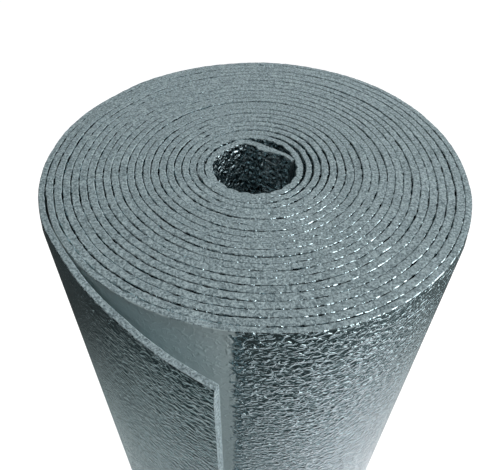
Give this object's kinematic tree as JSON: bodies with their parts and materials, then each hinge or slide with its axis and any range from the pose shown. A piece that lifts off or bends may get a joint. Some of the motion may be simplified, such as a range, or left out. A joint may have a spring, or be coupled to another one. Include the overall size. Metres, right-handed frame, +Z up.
{
  "type": "foil-faced foam insulation roll",
  "caption": "Roll of thin foil-faced foam insulation standing on end, wound in a close spiral round an open bore, with its loose tail lifting off the outside.",
  "frame": {"origin": "on the axis of the winding, at the height of the lower end face that the roll stands on", "axes": "+Z up along the roll; the tail lifts off towards -X and ends towards -Y"},
  "size_m": [0.2481, 0.2732, 1],
  "materials": {
    "foil_faced_foam": "crinkled aluminium foil on both faces, with matt grey closed-cell foam showing at the cut edges"
  },
  "bodies": {
    "root": {"insulation_roll": "foil_faced_foam"}
  },
  "joints": []
}
